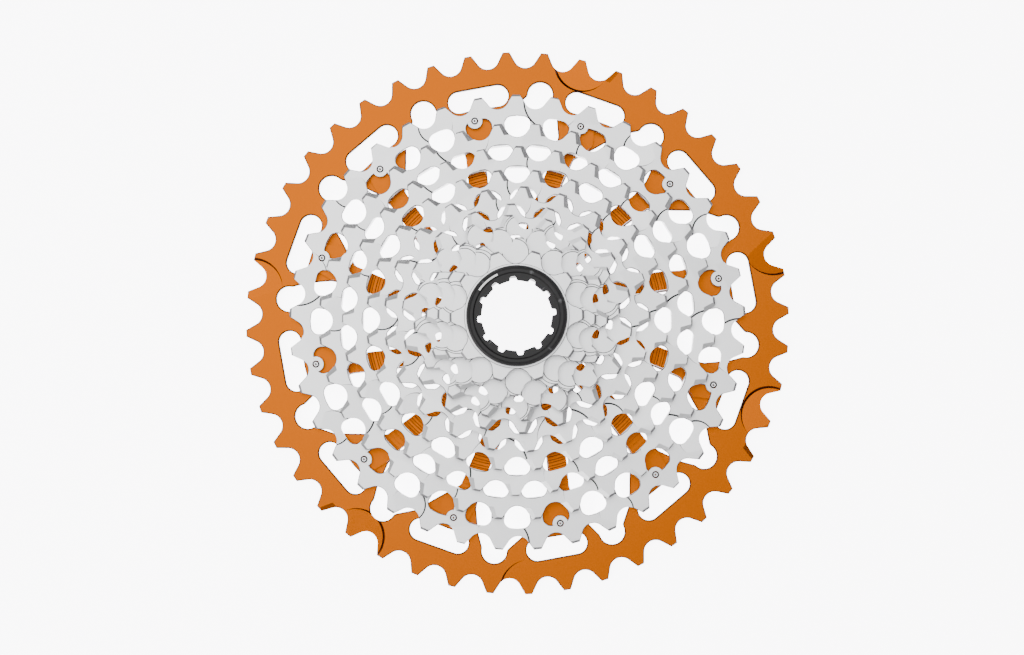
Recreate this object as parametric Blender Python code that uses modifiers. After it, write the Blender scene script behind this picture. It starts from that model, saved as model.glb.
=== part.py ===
"""Cassette sprocket: eleven toothed rings on a common axis, held by rivet pins and closed by a lock ring.

Units are metres. The cassette's axis is +Z. It lies on its back: the largest sprocket's rear face is
at z = 0 and the small end points up. The origin is on the axis, at the rear face.
"""
import math

import bmesh
import bpy

MM = 0.001

# ---- driving dimensions ---------------------------------------------------------------------------
CHAIN_PITCH = 12.7 * MM          # half-inch bicycle chain
ROLLER_SEAT = 3.88 * MM          # radius of the seat that a chain roller lies in
SPROCKET_STEP = 3.9 * MM         # axial distance from one sprocket to the next, eleven-speed chain
GAP = 0.3 * MM                   # clearance between neighbouring pieces

ALLOY_THICKNESS = 2.2 * MM       # the largest sprocket, aluminium
STEEL_THICKNESS = 1.7 * MM       # the ten steel sprockets
TIP_ABOVE_PITCH = 0.8 * MM       # how far the tooth tips stand over the pitch circle
ALLOY_TIP_ABOVE_PITCH = 1.45 * MM
TIP_WIDTH = 2.3 * MM

# teeth, angle of one tooth in degrees, wall between the tooth roots and the inside of the dome
SPROCKETS = [
    (44, 2.4, 4.8 * MM),
    (37, 2.7, 2.7 * MM),
    (32, 5.6, 2.6 * MM),
    (28, 12.1, 2.2 * MM),
    (24, 7.5, 1.9 * MM),
    (21, 1.1, 1.6 * MM),
    (18, 13.2, 1.7 * MM),
    (16, 4.8, 1.7 * MM),
    (14, 24.3, 1.7 * MM),
    (12, 28.2, 1.8 * MM),
    (10, 1.3, 2.6 * MM),
]
WINDOWED = 2                     # the largest steel sprockets that are cut open between the struts
WALL_SEGMENTS = 24

PIN_COUNT = 12
PIN_PHASE = 12.0                 # degrees
PIN_CIRCLE = 68.2 * MM
PIN_RADIUS = 1.1 * MM
PIN_HOLE_RADIUS = PIN_RADIUS + GAP
BOSS_RADIUS = 6.4 * MM           # half the width of the largest sprocket's arm at each pin
PAD_RADIUS = 3.6 * MM            # raised round pad under each pin
WINDOW_FOOT = 4.3 * MM           # from the pin circle out to the window between an arm's two prongs
WINDOW_SPAN = (-8.8, 5.4)        # that window's ends, in degrees from the pin
GAP_SPAN = (9.0, 15.4)           # where the gap between two arms meets the rim, in degrees from the pin

ARM_WIDTH = 6.6 * MM
ARM_SWEEP = 9.0                  # degrees that an arm turns from its boss to the hub
ARM_WAIST = 12.0 * MM            # from the pin circle in to where an arm starts to widen
ARM_SHOULDER = 5.0 * MM          # from the pin circle in to where it has its boss's full width
ARM_STEP_RADIUS = 50.0 * MM      # inside this radius the arms are thicker
ARM_STEP_TOP = 7.4 * MM
HUB_OUTER = 22.5 * MM
HUB_BORE = 17.9 * MM
HUB_SPLINE_DEPTH = 0.9 * MM
HUB_SPLINES = 12
SPLINE_CREST = (-9.0, 5.0)       # where one spline's crest starts and ends, in degrees from its centre
SPLINE_GROOVE = (8.0, 18.0)      # the same for the groove after it
HUB_HEIGHT = 14.0 * MM

LOCK_FLANGE_OUTER = 16.0 * MM
LOCK_FLANGE_THICKNESS = 2.2 * MM
LOCK_BORE = 11.1 * MM
LOCK_NOTCH = 12.5 * MM           # radius of the bottom of the tool notches
LOCK_NOTCHES = 12
LOCK_NOTCH_PHASE = 5.6           # degrees
LOCK_NOTCH_HALF = (3.2, 6.5)     # half the notch's angle at its bottom and at the bore
LOCK_TUBE_OUTER = 13.65 * MM
LOCK_TUBE_INNER = 12.65 * MM
LOCK_GROOVE_DEPTH = 0.5 * MM
LOCK_TUBE_FOOT = 2.6 * MM        # length of the tube below the snap ring's groove
WASHER_OUTER = 16.6 * MM
WASHER_THICKNESS = 0.5 * MM
CLIP_THICKNESS = 0.9 * MM
CLIP_OUTER = 15.2 * MM

ORANGE = (0.86, 0.21, 0.01)
STEEL = (0.62, 0.62, 0.63)
BLACK = (0.02, 0.02, 0.022)
PIN_STEEL = (0.5, 0.5, 0.52)


# ---- scene and materials --------------------------------------------------------------------------
def clear_scene():
    for obj in list(bpy.data.objects):
        bpy.data.objects.remove(obj, do_unlink=True)


def new_collection(name):
    collection = bpy.data.collections.new(name)
    bpy.context.scene.collection.children.link(collection)
    return collection


def metal(name, colour, roughness, metallic):
    material = bpy.data.materials.new(name)
    material.use_nodes = True
    shader = material.node_tree.nodes["Principled BSDF"]
    shader.inputs["Base Color"].default_value = (*colour, 1.0)
    shader.inputs["Roughness"].default_value = roughness
    shader.inputs["Metallic"].default_value = metallic
    return material


# ---- sizes that follow from the chain -------------------------------------------------------------
def pitch_radius(teeth):
    return CHAIN_PITCH / 2 / math.sin(math.pi / teeth)


def root_radius(teeth):
    return pitch_radius(teeth) - ROLLER_SEAT


def wall_radius(index):
    teeth, _, wall = SPROCKETS[index]
    return root_radius(teeth) - wall


def rear_face(index):
    return index * SPROCKET_STEP


# ---- outlines, as lists of (x, y) -----------------------------------------------------------------
def polar(radius, degrees):
    angle = math.radians(degrees)
    return (radius * math.cos(angle), radius * math.sin(angle))


def circle(radius, points, centre=(0.0, 0.0), phase=0.0):
    ring = [polar(radius, phase + 360 * i / points) for i in range(points)]
    return [(x + centre[0], y + centre[1]) for x, y in ring]


def toothed_outline(teeth, phase, tip_above_pitch):
    """Flat-topped teeth with a round roller seat between each two."""
    pitch = pitch_radius(teeth)
    tip = pitch + tip_above_pitch
    half_tip = math.degrees(TIP_WIDTH / 2 / tip)
    outline = []
    for k in range(teeth):
        tooth = phase + 360 * k / teeth
        outline.append(polar(tip, tooth - half_tip))
        outline.append(polar(tip, tooth + half_tip))
        seat = tooth + 180 / teeth
        centre = polar(pitch, seat)
        for swing in (62, 0, -62):
            dx, dy = polar(ROLLER_SEAT, seat + 180 + swing)
            outline.append((centre[0] + dx, centre[1] + dy))
    return outline


def ring_sector(inner, outer, start, end, steps):
    """Closed outline between two radii and two angles, with the arcs in equal steps."""
    span = [start + (end - start) * i / steps for i in range(steps + 1)]
    return [polar(outer, a) for a in span] + [polar(inner, a) for a in reversed(span)]


def shield_window(inner, outer, centre, half_width):
    """A window over a tooth gap: wide outside, narrowed towards the inside."""
    reach = outer - inner
    shape = [(0.0, 0.45), (0.55, 0.95), (1.0, 0.7)]
    left = [(inner + f * reach, centre + w * half_width) for f, w in shape]
    right = [(inner + f * reach, centre - w * half_width) for f, w in reversed(shape)]
    return [polar(r, a) for r, a in left + right]


# ---- solids ---------------------------------------------------------------------------------------
def plate(name, outlines, bottom, top, collection):
    """Flat plate between two heights. The first outline is the outside, the others are openings."""
    curve = bpy.data.curves.new(name, "CURVE")
    curve.dimensions = "2D"
    curve.fill_mode = "BOTH"
    curve.extrude = (top - bottom) / 2
    for outline in outlines:
        spline = curve.splines.new("POLY")
        spline.points.add(len(outline) - 1)
        for point, (x, y) in zip(spline.points, outline):
            point.co = (x, y, 0.0, 1.0)
        spline.use_cyclic_u = True
    flat = bpy.data.objects.new(name + "_outline", curve)
    flat.location.z = (top + bottom) / 2
    collection.objects.link(flat)
    bpy.context.view_layer.update()
    evaluated = flat.evaluated_get(bpy.context.evaluated_depsgraph_get())
    mesh = bpy.data.meshes.new_from_object(evaluated)
    shape = bmesh.new()
    shape.from_mesh(mesh)
    bmesh.ops.remove_doubles(shape, verts=shape.verts, dist=1e-6)
    bmesh.ops.recalc_face_normals(shape, faces=shape.faces)
    shape.to_mesh(mesh)
    shape.free()
    obj = bpy.data.objects.new(name, mesh)
    obj.matrix_world = flat.matrix_world.copy()
    collection.objects.link(obj)
    bpy.data.objects.remove(flat, do_unlink=True)
    return obj


def turned(name, profile, segments, phase, collection):
    """Closed ring from a profile of (radius, z) points, listed down the outer side first."""
    mesh = bpy.data.meshes.new(name)
    shape = bmesh.new()
    verts = [shape.verts.new((r, 0.0, z)) for r, z in profile]
    for i in range(len(verts)):
        shape.edges.new((verts[i], verts[(i + 1) % len(verts)]))
    shape.to_mesh(mesh)
    shape.free()
    obj = bpy.data.objects.new(name, mesh)
    obj.rotation_euler.z = math.radians(phase)
    collection.objects.link(obj)
    screw = obj.modifiers.new("turn", "SCREW")
    screw.angle = math.tau
    screw.steps = segments
    screw.render_steps = segments
    screw.use_merge_vertices = True
    screw.merge_threshold = 1e-6
    return obj


def hide_cutter(obj):
    obj.hide_render = True
    obj.display_type = "WIRE"


def combine(obj, tool, operation):
    modifier = obj.modifiers.new(operation.lower(), "BOOLEAN")
    modifier.operation = operation
    modifier.object = tool
    hide_cutter(tool)


def finish_part(obj, material):
    obj.data.materials.clear()
    obj.data.materials.append(material)
    obj.data.shade_smooth()
    obj.data.set_sharp_from_angle(angle=math.radians(30))
    return obj


# ---- the pieces -----------------------------------------------------------------------------------
def pin_angles():
    return [PIN_PHASE + 360 * k / PIN_COUNT for k in range(PIN_COUNT)]


def lean(pin, radius):
    """Angle of an arm's centre line at a radius."""
    return pin + ARM_SWEEP * (PIN_CIRCLE - radius) / (PIN_CIRCLE - HUB_OUTER)


def arm_half(radius):
    return math.degrees(ARM_WIDTH / 2 / radius)


def rim_window(pin, inner, outer):
    """The long rounded window between the two prongs of one arm."""
    start = pin + WINDOW_SPAN[0]
    end = pin + WINDOW_SPAN[1]
    corner = 1.4 * MM
    corner_angle = 1.6
    return [
        polar(inner, start + 2.6),
        polar(inner + 2.0 * MM, start),
        polar(outer - corner, start),
        polar(outer, start + corner_angle),
        polar(outer, end - corner_angle),
        polar(outer - corner, end),
        polar(inner, end - 3.6),
    ]


def arm_gap(pin, outer):
    """The opening between one arm and the next, from the hub out to the rim."""
    following = pin + 360 / PIN_COUNT
    half_boss = math.degrees(BOSS_RADIUS / PIN_CIRCLE)
    start = pin + GAP_SPAN[0]
    end = pin + GAP_SPAN[1]
    corner_angle = 1.6
    foot = HUB_OUTER + 1.5 * MM
    waist = PIN_CIRCLE - ARM_WAIST
    shoulder = PIN_CIRCLE - ARM_SHOULDER
    return [
        polar(foot, lean(pin, foot) + arm_half(foot)),
        polar(waist, lean(pin, waist) + arm_half(waist)),
        polar(shoulder, pin + half_boss),
        polar(PIN_CIRCLE + 4 * MM, pin + half_boss + 2.2),
        polar(outer - 2 * MM, start),
        polar(outer, start + corner_angle),
        polar(outer, end - corner_angle),
        polar(outer - 3 * MM, end),
        polar(PIN_CIRCLE + 2 * MM, following - half_boss - 3.2),
        polar(shoulder, following - half_boss - 0.6),
        polar(waist, lean(following, waist) - arm_half(waist)),
        polar(foot, lean(following, foot) - arm_half(foot)),
    ]


def arm_star():
    """Outline of the thicker inner stretch of the twelve arms."""
    outline = []
    root = HUB_OUTER - 1.2 * MM
    for pin in pin_angles():
        for radius, side in ((root, -1), (ARM_STEP_RADIUS, -1), (ARM_STEP_RADIUS, 1), (root, 1)):
            outline.append(polar(radius, lean(pin, radius) + side * 0.85 * arm_half(radius)))
    return outline


def make_largest_sprocket(parts, cutters, material):
    teeth, phase, _ = SPROCKETS[0]
    rim_inner = wall_radius(0)
    outlines = [toothed_outline(teeth, phase, ALLOY_TIP_ABOVE_PITCH)]
    outlines.append(circle(HUB_OUTER - 1.0 * MM, WALL_SEGMENTS))
    for pin in pin_angles():
        outlines.append(arm_gap(pin, rim_inner))
        outlines.append(rim_window(pin, PIN_CIRCLE + WINDOW_FOOT, rim_inner))
        outlines.append(circle(PIN_HOLE_RADIUS, 8, polar(PIN_CIRCLE, pin)))
    sprocket = plate("sprocket_44t", outlines, 0.0, ALLOY_THICKNESS, parts)

    pad_top = rear_face(1) - GAP
    for number, pin in enumerate(pin_angles(), start=1):
        centre = polar(PIN_CIRCLE, pin)
        rings = [circle(PAD_RADIUS, 8, centre), circle(PIN_HOLE_RADIUS + 0.15 * MM, 8, centre)]
        pad = plate(f"pin_pad_{number:02d}", rings, 0.5 * ALLOY_THICKNESS, pad_top, cutters)
        combine(sprocket, pad, "UNION")
    core = circle(HUB_OUTER - 1.8 * MM, WALL_SEGMENTS, phase=3.0)
    star = plate("arm_step", [arm_star(), core], 0.6 * ALLOY_THICKNESS, ARM_STEP_TOP, cutters)
    combine(sprocket, star, "UNION")
    hub = plate("hub_tube", [circle(HUB_OUTER, 2 * WALL_SEGMENTS), spline_bore()],
                0.2 * ALLOY_THICKNESS, HUB_HEIGHT, cutters)
    combine(sprocket, hub, "UNION")
    return finish_part(sprocket, material)


def spline_bore():
    """Hub bore with straight splines that take the freehub body."""
    outline = []
    for k in range(HUB_SPLINES):
        centre = 360 * k / HUB_SPLINES
        outline += [polar(HUB_BORE, centre + a) for a in SPLINE_CREST]
        outline += [polar(HUB_BORE + HUB_SPLINE_DEPTH, centre + a) for a in SPLINE_GROOVE]
    return outline


def make_steel_sprocket(index, parts, cutters, material):
    """Toothed plate with windows over the next sprocket's tooth gaps, on a short wall of its own."""
    teeth, phase, _ = SPROCKETS[index]
    bottom = rear_face(index)
    outlines = [toothed_outline(teeth, phase, TIP_ABOVE_PITCH)]
    smallest = index == len(SPROCKETS) - 1
    inner = wall_radius(index if smallest else index + 1)
    outlines.append(circle(inner, WALL_SEGMENTS))
    if index <= WINDOWED:
        next_teeth, next_phase, _ = SPROCKETS[index + 1]
        window_inner = root_radius(next_teeth) + 0.4 * MM
        window_outer = min(wall_radius(index), PIN_CIRCLE - 2.0 * MM)
        for k in range(next_teeth):
            seat = next_phase + (k + 0.5) * 360 / next_teeth
            half_width = 0.37 * 360 / next_teeth
            outlines.append(shield_window(window_inner, window_outer, seat, half_width))
    if index == 1:
        for pin in pin_angles():
            outlines.append(circle(PIN_HOLE_RADIUS, 8, polar(PIN_CIRCLE, pin)))
    sprocket = plate(f"sprocket_{teeth}t", outlines, bottom, bottom + STEEL_THICKNESS, parts)
    if index > 1:
        below = rear_face(index - 1) + STEEL_THICKNESS + GAP
        wall_outer = circle(root_radius(teeth) - 0.15 * MM, WALL_SEGMENTS)
        wall_inner = circle(wall_radius(index) + (GAP if smallest else 0.0), WALL_SEGMENTS)
        wall = plate(f"wall_{teeth}t", [wall_outer, wall_inner], below, bottom + 0.4 * MM, cutters)
        combine(sprocket, wall, "UNION")
    return finish_part(sprocket, material)


def make_pin(number, angle, parts, material):
    """Straight rivet pin through the largest steel sprocket and the boss below it."""
    mesh = bpy.data.meshes.new(f"rivet_pin_{number:02d}")
    shape = bmesh.new()
    top = rear_face(1) + STEEL_THICKNESS + 0.1 * MM
    bottom = 0.1 * MM
    bmesh.ops.create_cone(shape, cap_ends=True, segments=8, radius1=PIN_RADIUS, radius2=PIN_RADIUS,
                          depth=top - bottom)
    shape.to_mesh(mesh)
    shape.free()
    pin = bpy.data.objects.new(mesh.name, mesh)
    x, y = polar(PIN_CIRCLE, angle)
    pin.location = (x, y, (top + bottom) / 2)
    parts.objects.link(pin)
    return finish_part(pin, material)


def lock_bore_outline():
    """Round bore with rounded tool notches."""
    outline = []
    for k in range(LOCK_NOTCHES):
        centre = LOCK_NOTCH_PHASE + k * 360 / LOCK_NOTCHES
        bottom_half, bore_half = LOCK_NOTCH_HALF
        outline.append(polar(LOCK_BORE, centre - bore_half))
        outline.append(polar(LOCK_NOTCH, centre - bottom_half))
        outline.append(polar(LOCK_NOTCH, centre + bottom_half))
        outline.append(polar(LOCK_BORE, centre + bore_half))
    return outline


def clip_bottom():
    """The snap ring sits just under the smallest sprockets' common bore, so the lock ring stays in."""
    return rear_face(len(SPROCKETS) - 2) - GAP - CLIP_THICKNESS


def make_lock_ring(parts, cutters, axis, material):
    seat = rear_face(len(SPROCKETS) - 1) + STEEL_THICKNESS + WASHER_THICKNESS + 2 * GAP
    flange = [circle(LOCK_FLANGE_OUTER, 36), lock_bore_outline()]
    ring = plate("lock_ring", flange, seat, seat + LOCK_FLANGE_THICKNESS, parts)
    groove = LOCK_TUBE_OUTER - LOCK_GROOVE_DEPTH
    groove_top = clip_bottom() + CLIP_THICKNESS + GAP
    groove_bottom = clip_bottom() - GAP
    foot = groove_bottom - LOCK_TUBE_FOOT
    tube = turned("lock_tube", [
        (LOCK_TUBE_OUTER, seat + 0.4 * MM),
        (LOCK_TUBE_OUTER, groove_top),
        (groove, groove_top),
        (groove, groove_bottom),
        (LOCK_TUBE_OUTER, groove_bottom),
        (LOCK_TUBE_OUTER, foot),
        (LOCK_TUBE_INNER, foot),
        (LOCK_TUBE_INNER, seat + 0.4 * MM),
    ], WALL_SEGMENTS, 4.0, cutters)
    combine(ring, tube, "UNION")
    ring.parent = axis
    return finish_part(ring, material)


def make_washer(parts, material):
    bottom = rear_face(len(SPROCKETS) - 1) + STEEL_THICKNESS + GAP
    rings = [circle(WASHER_OUTER, WALL_SEGMENTS), circle(LOCK_TUBE_OUTER + 1.5 * GAP, WALL_SEGMENTS)]
    washer = plate("thrust_washer", rings, bottom, bottom + WASHER_THICKNESS, parts)
    return finish_part(washer, material)


def make_clip(parts, axis, material):
    """Open snap ring in the groove near the foot of the lock ring's tube."""
    inner = LOCK_TUBE_OUTER - LOCK_GROOVE_DEPTH + GAP
    outline = ring_sector(inner, CLIP_OUTER, 12, 348, 18)
    clip = plate("snap_ring", [outline], clip_bottom(), clip_bottom() + CLIP_THICKNESS, parts)
    clip.parent = axis
    return finish_part(clip, material)


def main():
    clear_scene()
    parts = new_collection("cassette_sprocket")
    cutters = new_collection("cutters")
    alloy = metal("orange_anodised", ORANGE, 0.35, 1.0)
    steel = metal("satin_steel", STEEL, 0.35, 1.0)
    black = metal("black_anodised", BLACK, 0.4, 0.6)
    pin_steel = metal("pin_steel", PIN_STEEL, 0.3, 1.0)
    axis = bpy.data.objects.new("lock_ring_axis", None)
    parts.objects.link(axis)

    make_largest_sprocket(parts, cutters, alloy)
    for index in range(1, len(SPROCKETS)):
        make_steel_sprocket(index, parts, cutters, steel)
    for number, angle in enumerate(pin_angles(), start=1):
        make_pin(number, angle, parts, pin_steel)
    make_lock_ring(parts, cutters, axis, black)
    make_washer(parts, steel)
    make_clip(parts, axis, pin_steel)


main()
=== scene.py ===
import math

import bmesh
import bpy
from mathutils import Matrix, Vector


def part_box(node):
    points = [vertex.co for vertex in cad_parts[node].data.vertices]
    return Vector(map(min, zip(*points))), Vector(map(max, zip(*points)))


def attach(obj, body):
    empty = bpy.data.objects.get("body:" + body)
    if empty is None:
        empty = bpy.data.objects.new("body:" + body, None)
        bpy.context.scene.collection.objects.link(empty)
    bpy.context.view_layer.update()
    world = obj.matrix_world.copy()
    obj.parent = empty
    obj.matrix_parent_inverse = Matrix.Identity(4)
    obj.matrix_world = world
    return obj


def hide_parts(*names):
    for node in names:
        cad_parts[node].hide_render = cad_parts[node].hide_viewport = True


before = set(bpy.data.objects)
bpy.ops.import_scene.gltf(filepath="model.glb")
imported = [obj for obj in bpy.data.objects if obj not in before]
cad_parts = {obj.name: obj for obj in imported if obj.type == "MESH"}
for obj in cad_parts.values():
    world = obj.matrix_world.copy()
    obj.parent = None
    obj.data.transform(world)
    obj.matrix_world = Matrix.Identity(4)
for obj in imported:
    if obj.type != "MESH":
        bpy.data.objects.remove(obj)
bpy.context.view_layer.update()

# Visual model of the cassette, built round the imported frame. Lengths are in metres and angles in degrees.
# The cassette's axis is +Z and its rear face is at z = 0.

MM = 0.001

CHAIN_PITCH = 12.7 * MM
SEAT_RADIUS = 3.88 * MM
# Number of teeth, angle of the first tooth and width of the wall inside the roots, from the largest one.
SPROCKETS = [
    (44, 2.4, 4.8 * MM), (37, 2.7, 2.7 * MM), (32, 5.6, 2.6 * MM), (28, 12.1, 2.2 * MM),
    (24, 7.5, 1.9 * MM), (21, 1.1, 1.6 * MM), (18, 13.2, 1.7 * MM), (16, 4.8, 1.7 * MM),
    (14, 24.3, 1.7 * MM), (12, 28.2, 1.8 * MM), (10, 1.3, 2.6 * MM),
]
PIN_COUNT = 12
PIN_PHASE = 12.0
PIN_CIRCLE = 68.2 * MM
PIN_RADIUS = 1.1 * MM
PIN_HOLE = PIN_RADIUS + 0.1 * MM
SPLINE_COUNT = 12
HUB_OUTER = 22.5 * MM
HUB_BORE = 17.9 * MM
ARM_SWEEP = 9.0
ARM_HALF_WIDTH = 3.3 * MM
ARM_WAIST = PIN_CIRCLE - 11 * MM
ARM_SHOULDER = PIN_CIRCLE - 4.6 * MM
ORANGE_THICKNESS = 2.2 * MM
STEEL_THICKNESS = 1.7 * MM
ORANGE_BEVEL = 0.38 * MM
STEEL_BEVEL = 0.2 * MM

# The orange rim's ramps: the angles where three of them begin and the angles where three others end.
RAMP_CIRCLE = 89.0 * MM
RAMP_STARTS = (11.0, 167.0, 267.0)
RAMP_ENDS = (81.9, 239.2, 345.8)

# Places in SPROCKETS of the steel sprockets that have each kind of window, cut or pocket.
SHIELD_WINDOWS = range(1, 4)
WIDE_WINDOWS = range(4, 6)
NARROW_WINDOWS = range(6, 8)
RAMPED = range(1, 8)
SLANTED = range(1, 6)
CHAMFERED = range(2, 9)
POCKETED = range(7, 10)

CUTTER_RISE = 1.5 * MM
WELD_DISTANCE = 0.002 * MM
BUMP_HEIGHT = 0.04 * MM
SMOOTH_ANGLE = math.radians(28)
FLAT_ANGLE = math.radians(1.5)
LEVEL_NORMAL = 0.98


# ---- frame ----------------------------------------------------------------------------------------
def bottom_of(node):
    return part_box(node)[0][2]


def top_of(node):
    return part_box(node)[1][2]


def pitch_radius(teeth):
    return CHAIN_PITCH / 2 / math.sin(math.pi / teeth)


def root_radius(index):
    return pitch_radius(SPROCKETS[index][0]) - SEAT_RADIUS


def wall_radius(index):
    return root_radius(index) - SPROCKETS[index][2]


def node_name(index):
    return f"sprocket_{SPROCKETS[index][0]}t"


FACE = [ORANGE_THICKNESS] + [top_of(node_name(i)) for i in range(1, len(SPROCKETS))]


# ---- materials ------------------------------------------------------------------------------------
class Nodes:
    """Short calls for building a material's node tree."""

    def __init__(self, name):
        self.material = bpy.data.materials.new(name)
        self.material.use_nodes = True
        self.tree = self.material.node_tree
        self.shader = self.tree.nodes["Principled BSDF"]
        self.position = self.tree.nodes.new("ShaderNodeTexCoord").outputs["Object"]

    def link(self, source, target):
        self.tree.links.new(source, target)

    def noise(self, scale, detail=3.0, vector=None, roughness=0.55):
        node = self.tree.nodes.new("ShaderNodeTexNoise")
        node.inputs["Scale"].default_value = scale
        node.inputs["Detail"].default_value = detail
        node.inputs["Roughness"].default_value = roughness
        self.link(vector or self.position, node.inputs["Vector"])
        return node.outputs["Fac"]

    def turned_lines(self, scale):
        """Fine circular lines about the cassette's axis, from the distance to it."""
        split = self.tree.nodes.new("ShaderNodeSeparateXYZ")
        self.link(self.position, split.inputs[0])
        flat = self.tree.nodes.new("ShaderNodeCombineXYZ")
        self.link(split.outputs["X"], flat.inputs["X"])
        self.link(split.outputs["Y"], flat.inputs["Y"])
        length = self.tree.nodes.new("ShaderNodeVectorMath")
        length.operation = "LENGTH"
        self.link(flat.outputs[0], length.inputs[0])
        joined = self.tree.nodes.new("ShaderNodeCombineXYZ")
        self.link(length.outputs["Value"], joined.inputs["X"])
        return self.noise(scale, 4.0, joined.outputs[0], 0.7)

    def ramp(self, value, stops):
        """Colour between two stops, each of them a position and a colour."""
        node = self.tree.nodes.new("ShaderNodeValToRGB")
        for element, (position, colour) in zip(node.color_ramp.elements, stops):
            element.position, element.color = position, (*colour, 1.0)
        self.link(value, node.inputs["Fac"])
        return node.outputs["Color"]

    def span(self, value, low, high):
        node = self.tree.nodes.new("ShaderNodeMapRange")
        node.inputs["To Min"].default_value = low
        node.inputs["To Max"].default_value = high
        self.link(value, node.inputs["Value"])
        return node.outputs["Result"]

    def mix(self, factor, first, second):
        node = self.tree.nodes.new("ShaderNodeMix")
        node.data_type = "RGBA"
        self.link(factor, node.inputs["Factor"])
        self.link(first, node.inputs["A"])
        node.inputs["B"].default_value = (*second, 1.0)
        return node.outputs["Result"]

    def slope(self, wall, wall_end, face_start, face):
        """Mask of the painted shade: one on bevels and slopes, nought on level faces and, when wall is over
        nought, on upright walls.
        """
        split = self.tree.nodes.new("ShaderNodeSeparateXYZ")
        self.link(self.tree.nodes.new("ShaderNodeTexCoord").outputs["Normal"], split.inputs[0])
        level = self.tree.nodes.new("ShaderNodeMath")
        level.operation = "ABSOLUTE"
        self.link(split.outputs["Z"], level.inputs[0])
        node = self.tree.nodes.new("ShaderNodeValToRGB")
        first = node.color_ramp.elements[0]
        first.position, first.color = 0.0, (0, 0, 0, 1) if wall else (1, 1, 1, 1)
        last = node.color_ramp.elements[1]
        last.position, last.color = face, (0, 0, 0, 1)
        if wall:
            node.color_ramp.elements.new(wall).color = (0, 0, 0, 1)
        node.color_ramp.elements.new(wall_end).color = (1, 1, 1, 1)
        node.color_ramp.elements.new(face_start).color = (1, 1, 1, 1)
        self.link(level.outputs[0], node.inputs["Fac"])
        return node.outputs["Color"]

    def painted_edge_highlight(self, low, high):
        """Mask of the painted highlight: one on convex edges, from the mesh's pointiness."""
        point = self.tree.nodes.new("ShaderNodeNewGeometry").outputs["Pointiness"]
        node = self.tree.nodes.new("ShaderNodeMapRange")
        node.inputs["From Min"].default_value = low
        node.inputs["From Max"].default_value = high
        self.link(point, node.inputs["Value"])
        return node.outputs["Result"]

    def bump(self, height, strength, distance):
        node = self.tree.nodes.new("ShaderNodeBump")
        node.inputs["Strength"].default_value = strength
        node.inputs["Distance"].default_value = distance
        self.link(height, node.inputs["Height"])
        self.link(node.outputs["Normal"], self.shader.inputs["Normal"])

    def add(self, first, second, weight):
        node = self.tree.nodes.new("ShaderNodeMath")
        node.operation = "MULTIPLY_ADD"
        node.inputs[1].default_value = weight
        self.link(second, node.inputs[0])
        self.link(first, node.inputs[2])
        return node.outputs["Value"]


def steel_material():
    m = Nodes("satin_steel")
    cloud = m.noise(45.0, 3.0)
    lines = m.turned_lines(2600.0)
    colour = m.ramp(cloud, [(0.3, (0.60, 0.605, 0.61)), (0.7, (0.67, 0.67, 0.675))])
    # Painted shade and dark reflection: bevels, chamfers and ramp slopes are darkened to near black by the
    # slope mask.
    colour = m.mix(m.slope(0.3, 0.5, 0.78, 0.91), colour, (0.04, 0.04, 0.042))
    m.link(colour, m.shader.inputs["Base Color"])
    m.shader.inputs["Metallic"].default_value = 1.0
    m.link(m.span(m.add(cloud, lines, 0.3), 0.30, 0.46), m.shader.inputs["Roughness"])
    grain = m.noise(9000.0, 2.0)
    m.bump(m.add(lines, grain, 0.6), 0.15, BUMP_HEIGHT)
    return m.material


def orange_material():
    m = Nodes("orange_anodised")
    cloud = m.noise(22.0, 4.0)
    lines = m.turned_lines(1800.0)
    colour = m.ramp(cloud, [(0.25, (0.315, 0.068, 0.0)), (0.75, (0.36, 0.08, 0.0))])
    # Painted shade and dark reflection: bevels, slopes and upright walls of the openings are darkened to dark
    # brown by the slope mask.
    colour = m.mix(m.slope(0.0, 0.05, 0.78, 0.86), colour, (0.035, 0.006, 0.0))
    m.link(colour, m.shader.inputs["Base Color"])
    m.shader.inputs["Metallic"].default_value = 1.0
    m.link(m.span(m.add(cloud, lines, 0.25), 0.32, 0.46), m.shader.inputs["Roughness"])
    grain = m.noise(7000.0, 2.0)
    m.bump(m.add(lines, grain, 0.8), 0.16, BUMP_HEIGHT)
    return m.material


def black_material():
    m = Nodes("black_anodised")
    cloud = m.noise(60.0, 4.0)
    lines = m.turned_lines(3000.0)
    colour = m.ramp(cloud, [(0.3, (0.009, 0.009, 0.009)), (0.7, (0.015, 0.014, 0.015))])
    # Painted highlight: the convex edges are lightened to dark grey.
    colour = m.mix(m.painted_edge_highlight(0.55, 0.68), colour, (0.10, 0.10, 0.105))
    m.link(colour, m.shader.inputs["Base Color"])
    m.shader.inputs["Metallic"].default_value = 0.0
    m.shader.inputs["Specular IOR Level"].default_value = 0.2
    m.link(m.span(m.add(cloud, lines, 0.4), 0.30, 0.5), m.shader.inputs["Roughness"])
    m.bump(lines, 0.25, BUMP_HEIGHT)
    return m.material


def pin_material():
    m = Nodes("pin_steel")
    cloud = m.noise(400.0, 3.0)
    colour = m.ramp(cloud, [(0.3, (0.50, 0.50, 0.51)), (0.7, (0.66, 0.66, 0.67))])
    # Painted shade: the pin's sloped rim is darkened to near black, for the dark ring of shade round each
    # pin.
    colour = m.mix(m.slope(0.0, 0.1, 0.8, 0.95), colour, (0.05, 0.05, 0.052))
    m.link(colour, m.shader.inputs["Base Color"])
    m.shader.inputs["Metallic"].default_value = 1.0
    m.link(m.span(cloud, 0.22, 0.42), m.shader.inputs["Roughness"])
    m.bump(m.noise(6000.0, 2.0), 0.2, BUMP_HEIGHT)
    return m.material


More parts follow.
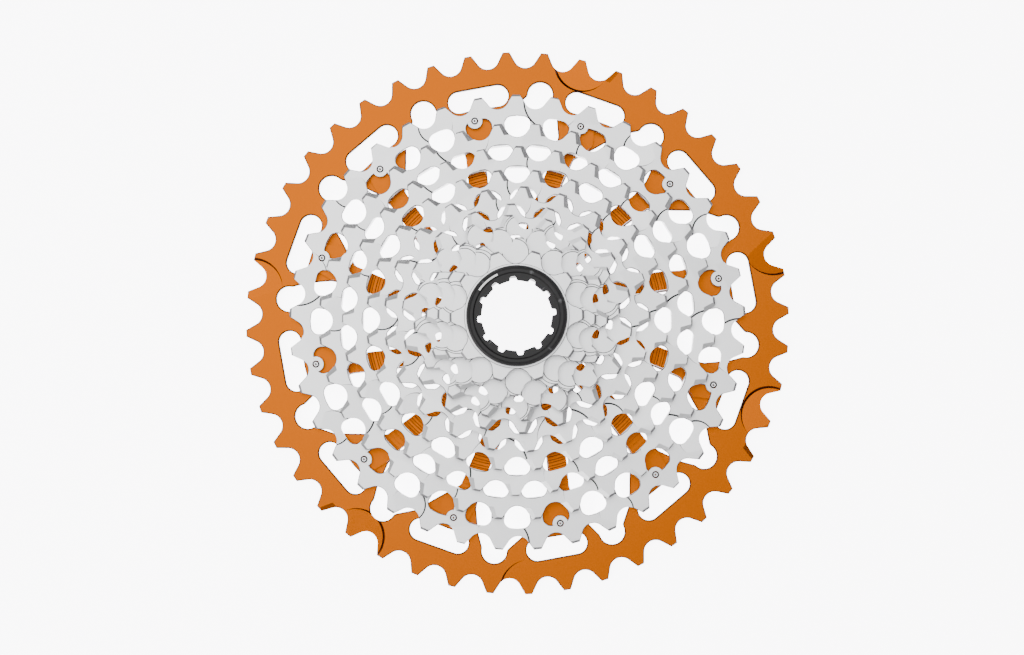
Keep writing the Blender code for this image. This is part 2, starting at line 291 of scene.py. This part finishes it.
def spring_material():
    m = Nodes("spring_steel")
    cloud = m.noise(300.0, 3.0)
    colour = m.ramp(cloud, [(0.3, (0.16, 0.16, 0.17)), (0.7, (0.26, 0.25, 0.25))])
    m.link(colour, m.shader.inputs["Base Color"])
    m.shader.inputs["Metallic"].default_value = 1.0
    m.link(m.span(cloud, 0.28, 0.5), m.shader.inputs["Roughness"])
    m.bump(m.noise(5000.0, 2.0), 0.2, BUMP_HEIGHT)
    return m.material


def paint_material():
    m = Nodes("pale_mark")
    speckle = m.noise(2500.0, 3.0)
    colour = m.ramp(speckle, [(0.3, (0.66, 0.66, 0.64)), (0.6, (0.84, 0.84, 0.82))])
    m.link(colour, m.shader.inputs["Base Color"])
    m.link(m.span(speckle, 0.45, 0.65), m.shader.inputs["Roughness"])
    m.bump(speckle, 0.15, 0.75 * BUMP_HEIGHT)
    return m.material


STEEL = steel_material()
ORANGE = orange_material()
BLACK = black_material()
PIN = pin_material()
SPRING = spring_material()
PAINT = paint_material()


# ---- outlines -------------------------------------------------------------------------------------
def polar(radius, degrees):
    angle = math.radians(degrees)
    return Vector((radius * math.cos(angle), radius * math.sin(angle)))


def circle(radius, points, centre=Vector((0.0, 0.0))):
    return [polar(radius, 360 * i / points) + centre for i in range(points)]


def toothed_outline(teeth, phase, tip_above, tip_width, seat_points=13):
    """Flat-topped teeth, each rounded into a roller seat on either side."""
    pitch = pitch_radius(teeth)
    tip = pitch + tip_above
    half_tip = math.degrees(tip_width / 2 / tip)
    half_arc = 62.0
    outline = []
    for k in range(teeth):
        tooth = phase + 360 * k / teeth
        outline.append(polar(tip, tooth - half_tip))
        outline.append(polar(tip, tooth + half_tip))
        seat = tooth + 180 / teeth
        centre = polar(pitch, seat)
        for j in range(seat_points):
            swing = half_arc - 2 * half_arc * j / (seat_points - 1)
            outline.append(centre + polar(SEAT_RADIUS, seat + 180 + swing))
    return outline


def rounded(corners, radius, steps=5):
    """The same outline with each corner replaced by an arc, which takes under half of either side."""
    share = 0.48
    outline = []
    count = len(corners)
    for i, corner in enumerate(corners):
        before = corners[i - 1] - corner
        after = corners[(i + 1) % count] - corner
        half = before.angle(after) / 2
        reach = min(radius / math.tan(half), share * before.length, share * after.length)
        start = corner + before.normalized() * reach
        end = corner + after.normalized() * reach
        for j in range(steps + 1):
            t = j / steps
            outline.append(start * (1 - t) ** 2 + corner * 2 * t * (1 - t) + end * t ** 2)
    return outline


# ---- solids ---------------------------------------------------------------------------------------
def keep(obj):
    bpy.context.scene.collection.objects.link(obj)
    return obj


def bake(obj):
    """Replace an object by the mesh it evaluates to."""
    bpy.context.view_layer.update()
    evaluated = obj.evaluated_get(bpy.context.evaluated_depsgraph_get())
    mesh = bpy.data.meshes.new_from_object(evaluated)
    mesh.transform(obj.matrix_world)
    solid = keep(bpy.data.objects.new(obj.name, mesh))
    bpy.data.objects.remove(obj, do_unlink=True)
    return solid


def signed_area(outline):
    return sum(a.x * b.y - b.x * a.y for a, b in zip(outline, outline[1:] + outline[:1])) / 2


def plate(name, outlines, bottom, top, edge):
    """Plate with bevelled edges. The first outline is its outside and the others are openings."""
    curve = bpy.data.curves.new(name, "CURVE")
    curve.dimensions = "2D"
    curve.fill_mode = "BOTH"
    curve.extrude = (top - bottom) / 2 - edge
    curve.bevel_depth = edge
    curve.bevel_resolution = 0
    curve.offset = -edge
    for i, outline in enumerate(outlines):
        anticlockwise = signed_area(outline) > 0
        points = outline if anticlockwise == (i == 0) else list(reversed(outline))
        spline = curve.splines.new("POLY")
        spline.points.add(len(points) - 1)
        for point, (x, y) in zip(spline.points, points):
            point.co = (x, y, 0.0, 1.0)
        spline.use_cyclic_u = True
    obj = keep(bpy.data.objects.new(name, curve))
    obj.location.z = (top + bottom) / 2
    solid = bake(obj)
    weld(solid)
    return solid


def weld(obj):
    shape = bmesh.new()
    shape.from_mesh(obj.data)
    bmesh.ops.remove_doubles(shape, verts=shape.verts, dist=WELD_DISTANCE)
    bmesh.ops.recalc_face_normals(shape, faces=shape.faces)
    shape.to_mesh(obj.data)
    shape.free()


def turned(name, profile, segments=192):
    """Ring from a closed profile of (radius, z), listed down its outer side first."""
    shape = bmesh.new()
    rings = []
    for i in range(segments):
        rings.append([shape.verts.new((*polar(r, 360 * i / segments), z)) for r, z in profile])
    count = len(profile)
    for i in range(segments):
        here, there = rings[i], rings[(i + 1) % segments]
        for j in range(count):
            shape.faces.new((here[j], here[(j + 1) % count], there[(j + 1) % count], there[j]))
    bmesh.ops.recalc_face_normals(shape, faces=shape.faces)
    mesh = bpy.data.meshes.new(name)
    shape.to_mesh(mesh)
    shape.free()
    return keep(bpy.data.objects.new(name, mesh))


def combine(obj, tools, operation):
    """Boolean with several tools, applied, and the tools removed."""
    for tool in tools:
        modifier = obj.modifiers.new("cut", "BOOLEAN")
        modifier.operation = operation
        modifier.object = tool
    solid = bake(obj)
    for tool in tools:
        bpy.data.objects.remove(tool, do_unlink=True)
    return solid


def join(name, objects):
    shape = bmesh.new()
    for obj in objects:
        shape.from_mesh(obj.data)
        bpy.data.objects.remove(obj, do_unlink=True)
    mesh = bpy.data.meshes.new(name)
    shape.to_mesh(mesh)
    shape.free()
    return keep(bpy.data.objects.new(name, mesh))


def prism(outline, top, depth_at):
    """Closed cutter over an outline, flat on top, with a bottom height for each point of the outline."""
    shape = bmesh.new()
    upper = [shape.verts.new((point.x, point.y, top)) for point in outline]
    lower = [shape.verts.new((point.x, point.y, depth_at(point))) for point in outline]
    count = len(outline)
    shape.faces.new(upper)
    shape.faces.new(list(reversed(lower)))
    for i in range(count):
        j = (i + 1) % count
        shape.faces.new((upper[i], lower[i], lower[j], upper[j]))
    bmesh.ops.triangulate(shape, faces=[f for f in shape.faces if len(f.verts) > 4])
    bmesh.ops.recalc_face_normals(shape, faces=shape.faces)
    mesh = bpy.data.meshes.new("prism")
    shape.to_mesh(mesh)
    shape.free()
    return keep(bpy.data.objects.new("prism", mesh))


def sloped(outline, face, origin, towards, depth, fade):
    """Cutter whose floor is deepest at origin, along the direction towards, and rises away from it."""
    def floor(point):
        return face - depth * (1 - (origin - point).dot(towards) / fade)
    return prism(outline, face + CUTTER_RISE, floor)


def scoop(centre, radius, wall_direction, face, depth, fade):
    """Cutter for a round ramp with a slanted wall: deepest at one side and shallower away from it."""
    towards = polar(1.0, wall_direction)
    shape = bmesh.new()
    upper, lower = [], []
    count = 72
    for i in range(count):
        way = polar(1.0, 360 * i / count)
        drop = depth * (1 - radius * (1 - way.dot(towards)) / fade)
        rim = centre + way * (radius + CUTTER_RISE)
        foot = centre + way * (radius - drop)
        upper.append(shape.verts.new((rim.x, rim.y, face + CUTTER_RISE)))
        lower.append(shape.verts.new((foot.x, foot.y, face - drop)))
    for i in range(count):
        j = (i + 1) % count
        shape.faces.new((upper[i], lower[i], lower[j], upper[j]))
    shape.faces.new(upper)
    shape.faces.new(list(reversed(lower)))
    bmesh.ops.recalc_face_normals(shape, faces=shape.faces)
    mesh = bpy.data.meshes.new("scoop")
    shape.to_mesh(mesh)
    shape.free()
    return keep(bpy.data.objects.new("scoop", mesh))


def finish_piece(obj, name, body, nodes, material):
    """Name, paint and shade a piece, with sharp edges beside its level faces, and hang it on its body."""
    obj.name = name
    obj.data.name = name
    obj.data.materials.clear()
    obj.data.materials.append(material)
    obj.data.polygons.foreach_set("material_index", [0] * len(obj.data.polygons))
    obj.data.shade_smooth()
    obj.data.set_sharp_from_angle(angle=SMOOTH_ANGLE)
    shape = bmesh.new()
    shape.from_mesh(obj.data)
    for edge in shape.edges:
        if len(edge.link_faces) == 2 and edge.calc_face_angle() > FLAT_ANGLE:
            if max(abs(face.normal.z) for face in edge.link_faces) > LEVEL_NORMAL:
                edge.smooth = False
    shape.to_mesh(obj.data)
    shape.free()
    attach(obj, body)
    if nodes:
        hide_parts(*nodes)
    return obj


# ---- the orange sprocket --------------------------------------------------------------------------
def pin_angles():
    return [PIN_PHASE + 360 * k / PIN_COUNT for k in range(PIN_COUNT)]


def lean(pin, radius):
    """Angle of an arm's middle line at a radius. The arms sweep on as they near the hub."""
    return pin + ARM_SWEEP * (PIN_CIRCLE - radius) / (PIN_CIRCLE - HUB_OUTER)


def rim_window(pin, outer):
    """The long window between an arm's two prongs: a slot with round ends, bowed inwards at the pin."""
    radius = 3.6 * MM
    first, last = pin - 7.0, pin + 2.9
    start, end = polar(outer - 4.3 * MM, first), polar(outer - 4.4 * MM, last)
    outline = [start + polar(radius, first + swing) for swing in range(-185, 11, 13)]
    outline += [end + polar(radius, last + swing) for swing in range(-10, 186, 13)]
    outline += [polar(PIN_CIRCLE + 4.2 * MM, pin - 0.5), polar(PIN_CIRCLE + 4.1 * MM, pin - 3.5)]
    return outline


def arm_gap(pin, outer):
    """The opening between one arm and the next, from the hub out to a round pocket in the rim."""
    following = pin + 360 / PIN_COUNT
    foot = HUB_OUTER + 2.0 * MM
    middle = (foot + ARM_WAIST) / 2
    reaches = (foot, middle, ARM_WAIST)

    def half(radius):
        return math.degrees(ARM_HALF_WIDTH / radius)

    corners = [polar(radius, lean(pin, radius) + half(radius)) for radius in reaches]
    corners += [polar(ARM_SHOULDER, pin + 5.6), polar(PIN_CIRCLE + 3.4 * MM, pin + 7.6)]
    pocket_angle = pin + 12.25
    pocket = polar(outer - 3.9 * MM, pocket_angle)
    corners += [pocket + polar(4.2 * MM, pocket_angle + swing) for swing in range(-100, 101, 20)]
    corners += [polar(PIN_CIRCLE + 3.0 * MM, following - 10.6), polar(PIN_CIRCLE - 4.0 * MM, following - 6.6)]
    corners += [polar(radius, lean(following, radius) - half(radius)) for radius in reversed(reaches)]
    return rounded(corners, 2.0 * MM, 4)


def stepped_cone():
    """Turned blank for the arms: low under the largest steel ring, then a stair, then shallow grooves."""
    low, high = 3.55 * MM, 7.4 * MM
    steps = 5
    clearance = 0.6 * MM
    riser = 0.1 * MM
    groove_depth, groove_side, groove_width, groove_spacing = 0.4 * MM, 0.2 * MM, 1.0 * MM, 1.9 * MM
    start, end = wall_radius(2) - clearance, wall_radius(3) - clearance
    tread = (start - end) / steps
    rise = (high - low) / steps
    profile = [(PIN_CIRCLE + 4.6 * MM, low), (start, low)]
    for j in range(steps):
        radius = start - tread * j
        profile.append((radius - riser, low + rise * (j + 1)))
        if j < steps - 1:
            profile.append((radius - tread, low + rise * (j + 1)))
    radius = end
    while radius > HUB_OUTER + 3 * MM:
        profile += [(radius, high), (radius - groove_side, high - groove_depth),
                    (radius - groove_width + groove_side, high - groove_depth), (radius - groove_width, high)]
        radius -= groove_spacing
    return profile


def spline_bore():
    """Bore of the hub, with grooves between its splines."""
    groove = HUB_BORE + 0.9 * MM
    outline = []
    for k in range(SPLINE_COUNT):
        centre = 360 / SPLINE_COUNT * k
        outline += [polar(HUB_BORE, centre + turn) for turn in (-9, -2, 5)]
        outline += [polar(groove, centre + turn) for turn in (8, 13, 18)]
    return outline


def arm_star():
    """Outline of the twelve arms, from the hub to just past the pins."""
    half_width = 3.1 * MM
    outline = []
    for pin in pin_angles():
        sides = []
        for side in (-1, 1):
            line = []
            for radius in (HUB_OUTER - 1.0 * MM, 36 * MM, 50 * MM, ARM_WAIST):
                line.append(polar(radius, lean(pin, radius) + side * math.degrees(half_width / radius)))
            line.append(polar(ARM_SHOULDER, pin + side * 5.2))
            line.append(polar(PIN_CIRCLE + 2.9 * MM, pin + side * 3.4))
            sides.append(line)
        outline += sides[0] + list(reversed(sides[1]))
    return outline


def arms():
    """The raised arms: the star's outline, cut to the height of the stepped cone."""
    bottom = 0.6 * ORANGE_THICKNESS
    over = 20 * MM
    star = plate("arms", [arm_star(), circle(HUB_OUTER - 2.2 * MM, 96)], bottom, over, 0.1 * MM)
    cone = stepped_cone()
    inner, outer, under = HUB_OUTER - 2.5 * MM, PIN_CIRCLE + 4.6 * MM, bottom - 1 * MM
    blank = turned("blank", cone + [(inner, cone[-1][1]), (inner, under), (outer, under)])
    return combine(star, [blank], "INTERSECT")


def orange_ramps(teeth, phase, face):
    """The rim's milled ramps, and the cut across a tooth beside each of those that end at a tooth."""
    cutters = []
    for start in RAMP_STARTS:
        cutters.append(scoop(polar(RAMP_CIRCLE, start + 5.6), 10.0 * MM, start - 60, face, 0.8 * MM, 13 * MM))
    for end in RAMP_ENDS:
        cutters.append(scoop(polar(RAMP_CIRCLE, end - 6.0), 9.4 * MM, end + 133, face, 0.85 * MM, 11.5 * MM))
        tooth = phase + 360 / teeth * round((end - 14.4 - phase) * teeth / 360)
        cutters.append(flank_cut(tooth, pitch_radius(teeth), face, 1, 1.1 * MM))
    return cutters


def make_orange_sprocket():
    teeth, phase, _ = SPROCKETS[0]
    rim = wall_radius(0)
    face = FACE[0]
    outlines = [toothed_outline(teeth, phase, 1.4 * MM, 2.3 * MM, 17), circle(HUB_OUTER - 1.2 * MM, 96)]
    for pin in pin_angles():
        outlines += [arm_gap(pin, rim), rim_window(pin, rim)]
    body = plate("orange", outlines, 0.0, face, ORANGE_BEVEL)
    hub = plate("hub", [circle(HUB_OUTER, 144), spline_bore()], 0.2 * face, top_of(node_name(0)), 0.3 * MM)
    body = combine(body, [arms(), hub], "UNION")
    body = combine(body, orange_ramps(teeth, phase, face), "DIFFERENCE")
    return finish_piece(body, "orange_sprocket", "cassette", [node_name(0)], ORANGE)


# ---- the steel sprockets --------------------------------------------------------------------------
def shield_window(inner, outer, centre, half_width):
    """Window beside a tooth of the next sprocket: wide and flat outside, narrowed inside."""
    stations = [(inner, 0.30), (inner + 0.35 * (outer - inner), 0.92), (outer - 1.6 * MM, 1.0), (outer, 0.66)]
    corners = [polar(radius, centre - share * half_width) for radius, share in stations]
    corners.append(polar(outer + 0.25 * MM, centre))
    corners += [polar(radius, centre + share * half_width) for radius, share in reversed(stations)]
    return rounded(corners, 2.4 * MM)


def wide_window(root, outer, tooth, half_width):
    """Window under a tooth of the next sprocket, widest inside."""
    inner, middle = root - 0.2 * MM, (root + outer) / 2
    return rounded([
        polar(inner, tooth - half_width * 0.9), polar(inner, tooth + half_width * 0.9),
        polar(middle, tooth + half_width * 0.86), polar(outer, tooth + half_width * 0.5),
        polar(outer, tooth - half_width * 0.5), polar(middle, tooth - half_width * 0.86)], 1.5 * MM)


def narrow_window(inner, outer, centre, half_width):
    """Small window between two teeth of the next sprocket."""
    return rounded([
        polar(inner, centre - half_width), polar(inner, centre + half_width),
        polar(outer, centre + half_width * 0.8), polar(outer, centre - half_width * 0.8)], 1.2 * MM)


def windows(index):
    """Openings in one steel plate, one for each tooth of the next smaller sprocket."""
    if index == len(SPROCKETS) - 1:
        return []
    teeth, phase, _ = SPROCKETS[index + 1]
    pitch = 360 / teeth
    root = root_radius(index + 1)
    outer = wall_radius(index)
    openings = []
    for k in range(teeth):
        tooth = phase + k * pitch
        if index in SHIELD_WINDOWS:
            openings.append(shield_window(root - 0.4 * MM, outer, tooth + 0.5 * pitch, 0.34 * pitch))
        elif index in WIDE_WINDOWS:
            openings.append(wide_window(root, outer, tooth, 0.43 * pitch))
        elif index in NARROW_WINDOWS:
            shift = 0.615 if index == NARROW_WINDOWS[0] else 0.6
            openings.append(narrow_window(root, outer, tooth + shift * pitch, 0.15 * pitch))
    return openings


def tip_chamfer(index):
    """Ring cutter that slopes the front of the tooth tips."""
    tip = pitch_radius(SPROCKETS[index][0]) + 0.8 * MM
    face = FACE[index]
    inner, outer = tip - 0.75 * MM, tip + 1 * MM
    above, below = face + 1 * MM, face - 1.3 * MM
    return turned("chamfer", [(outer, above), (outer, below), (inner, face), (inner, above)], 160)


def flank_cut(tooth, pitch, face, side, depth):
    """Sloped cut across the tip of one tooth, towards its higher-angle flank when side is 1."""
    radial = polar(1.0, tooth)
    across = polar(side, tooth + 90)
    inner, outer = pitch - 3.2 * MM, pitch + 2.4 * MM
    near, far = -0.6 * MM, 4.2 * MM
    outline = [radial * outer + across * near, radial * outer + across * far, radial * inner + across * far,
               radial * inner + across * (near + 2.2 * MM)]
    edge = radial * outer + across * near
    direction = (radial * 0.25 + across).normalized()
    return sloped(outline, face, edge + direction * 3.2 * MM, direction, depth, 2.9 * MM)


def tooth_chamfers(index):
    """One sloped cut for each tooth, on one of its flanks."""
    teeth, phase, _ = SPROCKETS[index]
    side, depth = (-1, 1.5 * MM) if index in SLANTED else (1, 1.0 * MM)
    pitch = pitch_radius(teeth)
    return join("chamfers", [flank_cut(phase + 360 * k / teeth, pitch, FACE[index], side, depth)
                             for k in range(teeth)])


def shift_ramps(index):
    """Milled ramps that help the chain climb, with a slanted cut across every other tooth beside them."""
    if index not in RAMPED:
        return []
    teeth, phase, _ = SPROCKETS[index]
    step = 360 / teeth
    face = FACE[index]
    root = root_radius(index)

    def ramp(tooth, above_root, behind, radius, turn, depth, fade):
        centre = polar(root + above_root, tooth - math.degrees(behind / root))
        return scoop(centre, radius, tooth + turn, face, depth, fade)

    def slant(tooth):
        first = tooth - math.degrees(5.0 * MM / root)
        last = tooth + math.degrees(4.4 * MM / root)
        tip = pitch_radius(teeth) + 2 * MM
        start = polar(root + 0.2 * MM, first)
        outline = [start, polar(tip, first), polar(tip, last), polar(root - 2.4 * MM, last)]
        return sloped(outline, face, start, polar(1.0, tooth - 90), 0.45 * MM, 12 * MM)

    teeth_per_ramp = 3.1
    count = round(teeth / teeth_per_ramp)
    ramps = []
    slants = []
    for k in range(count):
        tooth = phase + round(k * teeth / count) * step
        if k % 3 == 0:
            ramps.append(ramp(tooth, above_root=3.0 * MM, behind=11.5 * MM, radius=9.6 * MM, turn=125,
                              depth=0.6 * MM, fade=15 * MM))
        else:
            ramps.append(ramp(tooth, above_root=-0.6 * MM, behind=8.2 * MM, radius=5.8 * MM, turn=130,
                              depth=0.55 * MM, fade=10 * MM))
        if k % 2 == 0 and index in SLANTED:
            slants.append(slant(tooth + step))
    cutters = [join("ramps", ramps)]
    if slants:
        cutters.append(join("slants", slants))
    return cutters


def seat_pockets(index):
    """Shallow round pockets in a plate, under the next sprocket's roller seats."""
    teeth, phase, _ = SPROCKETS[index + 1]
    pitch = pitch_radius(teeth)
    face = FACE[index]
    nearly_level = 1.0
    deep, wide = [], []
    for k in range(teeth):
        seat = phase + 360 * (k + 0.5) / teeth
        centre = polar(pitch, seat)
        beside = centre + polar(0.5 * MM, seat + 200)
        deep.append(scoop(centre, SEAT_RADIUS + 0.7 * MM, 0.0, face, 0.5 * MM, nearly_level))
        wide.append(scoop(beside, SEAT_RADIUS + 1.5 * MM, 0.0, face, 0.24 * MM, nearly_level))
    return [join("pockets", deep), join("wide_pockets", wide)]


def add_pin_bosses(body, rear, face):
    """Round bosses in the largest steel plate, each with a hole for its pin."""
    inset = 0.03 * MM
    bosses, holes = [], []
    for pin in pin_angles():
        centre = polar(PIN_CIRCLE, pin)
        bosses.append(plate("boss", [circle(2.6 * MM, 40, centre)], rear + inset, face - inset, 0.1 * MM))
        holes.append(prism(circle(PIN_HOLE, 32, centre), face + 1 * MM, lambda point: rear - 1 * MM))
    body = combine(body, [join("bosses", bosses)], "UNION")
    return combine(body, [join("holes", holes)], "DIFFERENCE")


def add_wall(body, index, rear, smallest):
    """The wall under a sprocket's roots, which reaches down to just above the plate before it."""
    below = FACE[index - 1] + 0.3 * MM
    above = rear + 0.5 * MM
    outside = root_radius(index) - 0.25 * MM
    inside = wall_radius(index) + (0.35 * MM if smallest else 0.0)
    wall = turned("wall", [(outside, above), (outside, below), (inside, below), (inside, above)])
    return combine(body, [wall], "UNION")


def make_steel_sprocket(index):
    teeth, phase, _ = SPROCKETS[index]
    smallest = index == len(SPROCKETS) - 1
    face = FACE[index]
    rear = face - STEEL_THICKNESS
    inner = wall_radius(index if smallest else index + 1)
    outlines = [toothed_outline(teeth, phase, 0.78 * MM, 2.5 * MM), circle(inner, 144)]
    body = plate("steel", outlines + windows(index), rear, face, STEEL_BEVEL)
    if index == 1:
        body = add_pin_bosses(body, rear, face)
    cutters = [tip_chamfer(index)] + shift_ramps(index)
    if index in CHAMFERED:
        cutters.append(tooth_chamfers(index))
    if index in POCKETED:
        cutters += seat_pockets(index)
    body = combine(body, cutters, "DIFFERENCE")
    if index > 1:
        body = add_wall(body, index, rear, smallest)
    node = node_name(index)
    return finish_piece(body, "steel_" + node, "cassette", [node], STEEL)


# ---- pins, lock ring and the pieces beside it -------------------------------------------------------
def make_pin(number, angle):
    """Hollow rivet with a dished head and a sloped rim."""
    node = f"rivet_pin_{number:02d}"
    low, high = bottom_of(node), top_of(node)
    outer = PIN_RADIUS - 0.05 * MM
    foot_bevel, rim = 0.25 * MM, 0.36 * MM
    pin = turned("pin", [
        (0.2 * MM, high - 0.12 * MM), (0.4 * MM, high), (outer - rim, high), (outer, high - rim),
        (outer, low + foot_bevel), (outer - foot_bevel, low), (0.25 * MM, low)], 32)
    pin.data.transform(Matrix.Translation((*polar(PIN_CIRCLE, angle), 0.0)))
    return finish_piece(pin, f"pin_{number:02d}", "cassette", [node], PIN)


def notched_bore(radius, notch, phase):
    """Bore with tool notches, their bottoms and corners soft."""
    stations = [(radius, -11), (radius, -5.6), (notch, -4.2), (notch, 4.2), (radius, 5.6), (radius, 11)]
    corners = []
    for k in range(SPLINE_COUNT):
        centre = phase + 360 / SPLINE_COUNT * k
        corners += [polar(reach, centre + turn) for reach, turn in stations]
    return rounded(corners, 0.7 * MM, 4)


def lock_flange(seat, high):
    """Flange of the lock ring: a face with tool notches, a raised land round it, and a fine groove."""
    outer, inner = 15.95 * MM, 10.2 * MM
    face = high - 0.55 * MM
    land = high - 0.06 * MM
    groove = high - 0.25 * MM
    flange = turned("flange", [
        (outer - 0.5 * MM, high - 0.15 * MM), (outer - 0.15 * MM, high - 0.45 * MM), (outer, high - 0.9 * MM),
        (outer, seat + 0.2 * MM), (outer - 0.2 * MM, seat), (inner, seat), (inner, face), (13.45 * MM, face),
        (13.7 * MM, high - 0.15 * MM), (13.85 * MM, land), (14.75 * MM, land), (14.9 * MM, groove),
        (15.05 * MM, groove), (15.15 * MM, land)])
    bore = plate("bore", [notched_bore(11.1 * MM, 12.5 * MM, 5.6)], seat - 1 * MM, high + 1 * MM, 0.05 * MM)
    return combine(flange, [bore], "DIFFERENCE")


def lock_tube(low, top):
    """Tube of the lock ring, with a groove for the clip and a thread at its foot."""
    outer, inner = 13.6 * MM, 12.65 * MM
    groove = outer - 0.45 * MM
    clip_gap = 0.25 * MM
    groove_bottom, groove_top = bottom_of("snap_ring") - clip_gap, top_of("snap_ring") + clip_gap
    thread_pitch, thread_depth = 0.6 * MM, 0.28 * MM
    profile = [(outer, top), (outer, groove_top), (groove, groove_top), (groove, groove_bottom),
               (outer, groove_bottom)]
    z = low + 2.3 * MM
    while z - thread_pitch > low + 0.2 * MM:
        profile += [(outer, z), (outer - thread_depth, z - thread_pitch / 2)]
        z -= thread_pitch
    profile += [(outer - 0.1 * MM, low + 0.15 * MM), (outer - 0.3 * MM, low), (inner, low), (inner, top)]
    return turned("tube", profile, 128)


def make_lock_ring():
    low, high = bottom_of("lock_ring"), top_of("lock_ring")
    seat = high - 2.2 * MM
    ring = combine(lock_flange(seat, high), [lock_tube(low, seat + 0.3 * MM)], "UNION")
    return finish_piece(ring, "lock_ring_body", "lock", ["lock_ring"], BLACK)


def arc_band(inner, outer, start, sweep, steps):
    """Outline of part of a flat ring."""
    angles = [start + sweep * i / steps for i in range(steps + 1)]
    return [polar(outer, a) for a in angles] + [polar(inner, a) for a in reversed(angles)]


def make_lock_mark():
    """A plain pale arc on the lock ring's face."""
    high = top_of("lock_ring")
    thickness = 0.09 * MM
    mark = plate("mark", [arc_band(13.95 * MM, 14.55 * MM, 115, 31, 24)], high - thickness, high, 0.02 * MM)
    return finish_piece(mark, "lock_ring_mark", "lock", [], PAINT)


def make_washer():
    low, high = bottom_of("thrust_washer"), top_of("thrust_washer")
    outer, inner = 16.6 * MM, 14.1 * MM
    washer = turned("washer", [
        (outer - 0.15 * MM, high), (outer, high - 0.12 * MM), (outer, low + 0.1 * MM),
        (outer - 0.1 * MM, low), (inner, low), (inner, high)], 160)
    return finish_piece(washer, "washer", "cassette", ["thrust_washer"], STEEL)


def make_clip():
    """Spring clip, a flat ring with a gap."""
    low, high = bottom_of("snap_ring"), top_of("snap_ring")
    clip = plate("clip", [arc_band(13.45 * MM, 15.15 * MM, 12, 336, 96)], low, high, 0.15 * MM)
    return finish_piece(clip, "clip", "lock", ["snap_ring"], SPRING)


# ---- stage ----------------------------------------------------------------------------------------
def make_floor():
    """A pale floor that glows a little, so that it stays even behind the cassette."""
    half_size, gap = 3.0, 0.2 * MM
    shape = bmesh.new()
    bmesh.ops.create_grid(shape, x_segments=4, y_segments=4, size=half_size)
    mesh = bpy.data.meshes.new("floor")
    shape.to_mesh(mesh)
    shape.free()
    floor = keep(bpy.data.objects.new("floor", mesh))
    floor.location.z = -gap
    m = Nodes("floor_white")
    m.link(m.ramp(m.noise(3.0), [(0.3, (0.86, 0.855, 0.87)), (0.7, (0.88, 0.875, 0.89))]),
           m.shader.inputs["Base Color"])
    m.shader.inputs["Roughness"].default_value = 0.7
    m.shader.inputs["Emission Color"].default_value = (0.985, 0.97, 1.0, 1.0)
    m.shader.inputs["Emission Strength"].default_value = 8.0
    mesh.materials.append(m.material)


def make_light(name, location, size, power):
    light = bpy.data.lights.new(name, "AREA")
    light.shape = "DISK"
    light.size = size
    light.energy = power
    obj = keep(bpy.data.objects.new(name, light))
    obj.location = location
    obj.rotation_euler = (-Vector(location)).to_track_quat("-Z", "Y").to_euler()


def make_world():
    """Grey surroundings, brightest above and towards -X and -Y."""
    bright_side = (-0.62, -0.62, 0.48)
    world = bpy.data.worlds.new("studio")
    bpy.context.scene.world = world
    world.use_nodes = True
    tree = world.node_tree
    direction = tree.nodes.new("ShaderNodeTexCoord").outputs["Generated"]
    side = tree.nodes.new("ShaderNodeVectorMath")
    side.operation = "DOT_PRODUCT"
    side.inputs[1].default_value = bright_side
    tree.links.new(direction, side.inputs[0])
    ramp = tree.nodes.new("ShaderNodeValToRGB")
    ramp.color_ramp.elements[0].position = 0.25
    ramp.color_ramp.elements[0].color = (0.18, 0.18, 0.185, 1.0)
    ramp.color_ramp.elements[1].position = 0.95
    ramp.color_ramp.elements[1].color = (0.95, 0.95, 0.96, 1.0)
    scale = tree.nodes.new("ShaderNodeMapRange")
    scale.inputs["From Min"].default_value = -1.0
    tree.links.new(side.outputs["Value"], scale.inputs["Value"])
    tree.links.new(scale.outputs["Result"], ramp.inputs["Fac"])
    tree.links.new(ramp.outputs["Color"], tree.nodes["Background"].inputs["Color"])
    tree.nodes["Background"].inputs["Strength"].default_value = 1.0


def make_camera():
    """Camera nearly straight above the front, with +Y up in its picture."""
    distance = 0.75
    elevation = math.radians(87.4)
    lens = 79.0
    aim = Vector((-0.0018, -0.0018, 0.0))
    camera = bpy.data.cameras.new("camera")
    camera.lens = lens
    camera.sensor_width = 36.0
    obj = keep(bpy.data.objects.new("camera", camera))
    aside = 0.007
    direction = Vector((aside, -math.cos(elevation), math.sin(elevation))).normalized()
    right = Vector((0.0, 1.0, 0.0)).cross(direction).normalized()
    up = direction.cross(right)
    axes = Matrix((right, up, direction)).transposed()
    obj.matrix_world = Matrix.Translation(aim + direction * distance) @ axes.to_4x4()
    bpy.context.scene.camera = obj


make_camera()
make_world()
make_floor()
make_light("overhead", (-0.24, 0.3, 1.3), 1.25, 15.5)
make_light("key", (-0.9, -0.7, 0.8), 0.5, 9.0)

make_orange_sprocket()
for ring in range(1, len(SPROCKETS)):
    make_steel_sprocket(ring)
for pin_number, pin_angle in enumerate(pin_angles(), start=1):
    make_pin(pin_number, pin_angle)
make_lock_ring()
make_lock_mark()
make_washer()
make_clip()
